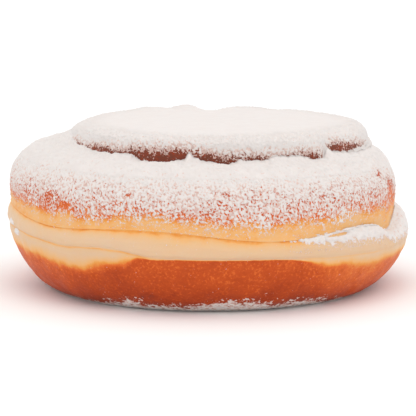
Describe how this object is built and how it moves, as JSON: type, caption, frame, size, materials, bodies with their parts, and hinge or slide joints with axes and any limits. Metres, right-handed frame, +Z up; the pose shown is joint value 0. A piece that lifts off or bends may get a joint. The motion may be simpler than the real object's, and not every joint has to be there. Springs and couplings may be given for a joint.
{
  "type": "jelly filled doughnut",
  "caption": "Round fried doughnut with a flat raised cap set in a furrow, a full shoulder, a pale folded collar round its waist and a flat base to rest on.",
  "frame": {"origin": "centre of the doughnut's bounding box, on the surface that it rests on", "axes": "+Z up through the cap; +X to the right of the front, along the widest direction; -Y is the front"},
  "size_m": [0.09, 0.0886, 0.037],
  "materials": {
    "crust": "browned fried dough, with a dull shine of fat",
    "sugar": "dry white powder"
  },
  "bodies": {
    "root": {"doughnut": "crust"}
  },
  "joints": []
}
